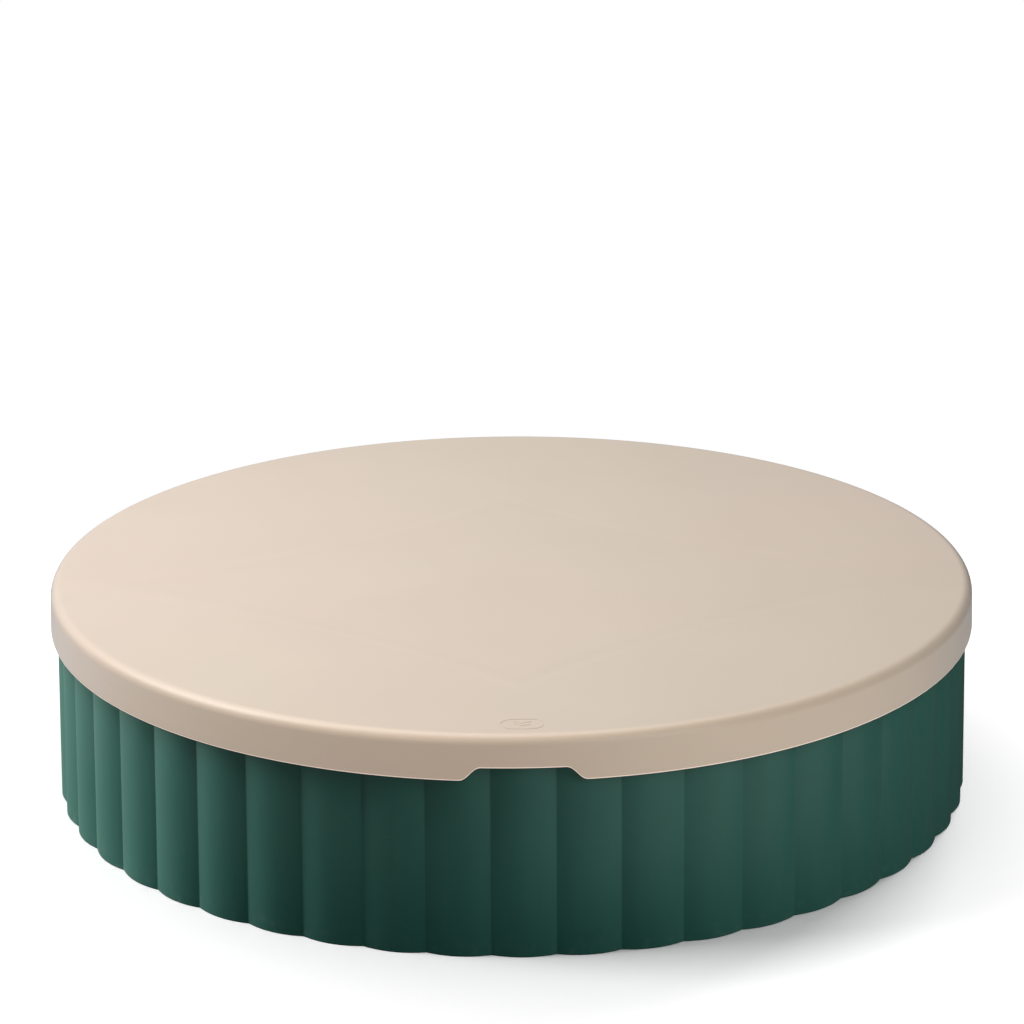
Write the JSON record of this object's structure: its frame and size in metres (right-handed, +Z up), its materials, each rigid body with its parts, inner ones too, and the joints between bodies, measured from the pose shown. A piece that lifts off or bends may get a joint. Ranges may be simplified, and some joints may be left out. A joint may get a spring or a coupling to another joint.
{
  "type": "sandbox with cover",
  "caption": "Round fluted plastic sandbox tub with a flat lift-off lid that has a finger notch in its skirt.",
  "frame": {"origin": "on the floor, under the middle of the tub", "axes": "+Z up; the lid's finger notch faces -Y"},
  "size_m": [0.9032, 0.9028, 0.21],
  "materials": {
    "green_plastic": "satin, moulded",
    "sand_plastic": "satin, moulded"
  },
  "bodies": {
    "tub": {"tub": "green_plastic"},
    "lid": {"lid": "sand_plastic"}
  },
  "joints": [
    {"name": "lid_lift", "type": "slide", "parent": "tub", "child": "lid", "axis": [0, 0, 1], "range_m": [0, 0.35]}
  ]
}
